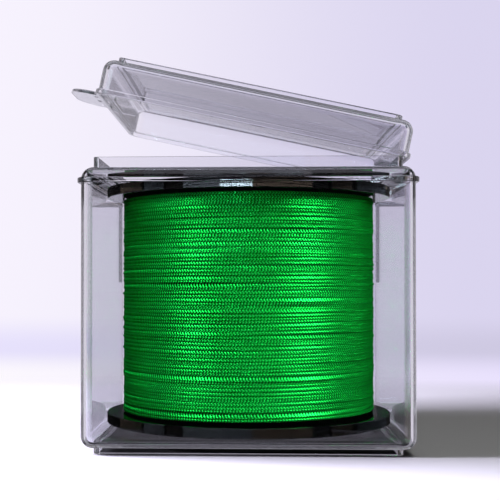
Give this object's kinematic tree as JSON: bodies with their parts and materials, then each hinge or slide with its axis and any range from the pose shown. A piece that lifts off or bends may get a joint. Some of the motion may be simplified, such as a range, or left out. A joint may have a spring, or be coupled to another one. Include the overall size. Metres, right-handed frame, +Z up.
{
  "type": "fishing line spool",
  "caption": "Flanged spool wound full of green braided fishing line, upright in a clear square box with a shoulder, lip, stacking foot and hinged lid with a thumb tab.",
  "frame": {"origin": "centre of the foot ring's underside, on the spool's axis, at the height the box stands on", "axes": "+Z up along the spool's axis; +X towards the lid hinge, -X towards the thumb tab; -Y is the front"},
  "size_m": [0.1022, 0.0962, 0.1129],
  "materials": {
    "clear_plastic": "polished clear styrene, faint lilac-grey",
    "black_plastic": "glossy black moulded plastic",
    "green_line": "vivid green braided line, waxed, wound in level rows"
  },
  "bodies": {
    "box": {"box_tub": "clear_plastic", "box_top_frame": "clear_plastic", "lid_hinge_pin": "clear_plastic"},
    "lid": {"box_lid": "clear_plastic"},
    "spool": {"spool_lower_flange": "black_plastic", "spool_upper_flange": "black_plastic", "spool_barrel": "black_plastic", "spool_hub_bush": "black_plastic", "line_winding": "green_line"}
  },
  "joints": [
    {"name": "lid_hinge", "type": "hinge", "parent": "box", "child": "lid", "pos_m": [0.0486, 0, 0.082], "axis": [0, 1, 0], "range_deg": [-12.1, 98]},
    {"name": "spool_spin", "type": "hinge", "parent": "box", "child": "spool", "pos_m": [0, 0, 0.0413], "axis": [0, 0, 1], "continuous": true}
  ]
}
